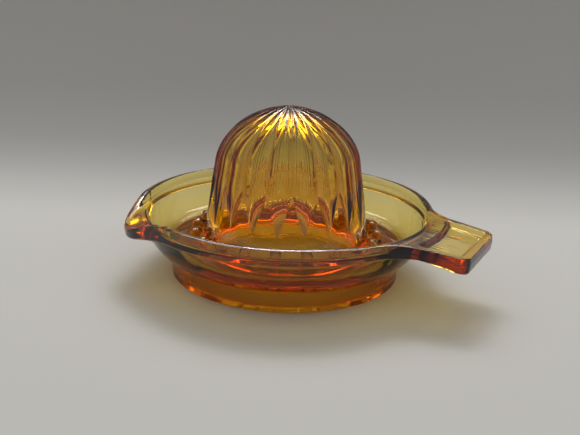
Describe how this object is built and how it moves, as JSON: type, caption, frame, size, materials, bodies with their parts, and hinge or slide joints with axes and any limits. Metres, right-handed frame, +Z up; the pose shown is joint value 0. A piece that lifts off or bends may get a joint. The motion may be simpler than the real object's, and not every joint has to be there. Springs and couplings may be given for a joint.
{
  "type": "glass citrus juicer",
  "caption": "Amber pressed-glass citrus juicer: a fluted reaming dome in a round dish with a turned-down pouring spout, a flat tab handle and a foot ring.",
  "frame": {"origin": "on the plane of the foot, under the middle of the outline's box; the dome's axis is at x = -0.013", "axes": "+X from the dome along the handle, +Z up the dome's axis, the spout at 225 degrees from +X"},
  "size_m": [0.17, 0.144, 0.0816],
  "materials": {
    "amber_glass": "clear amber pressed glass with a smooth fire-polished surface"
  },
  "bodies": {
    "root": {"juicer_body": "amber_glass"}
  },
  "joints": []
}
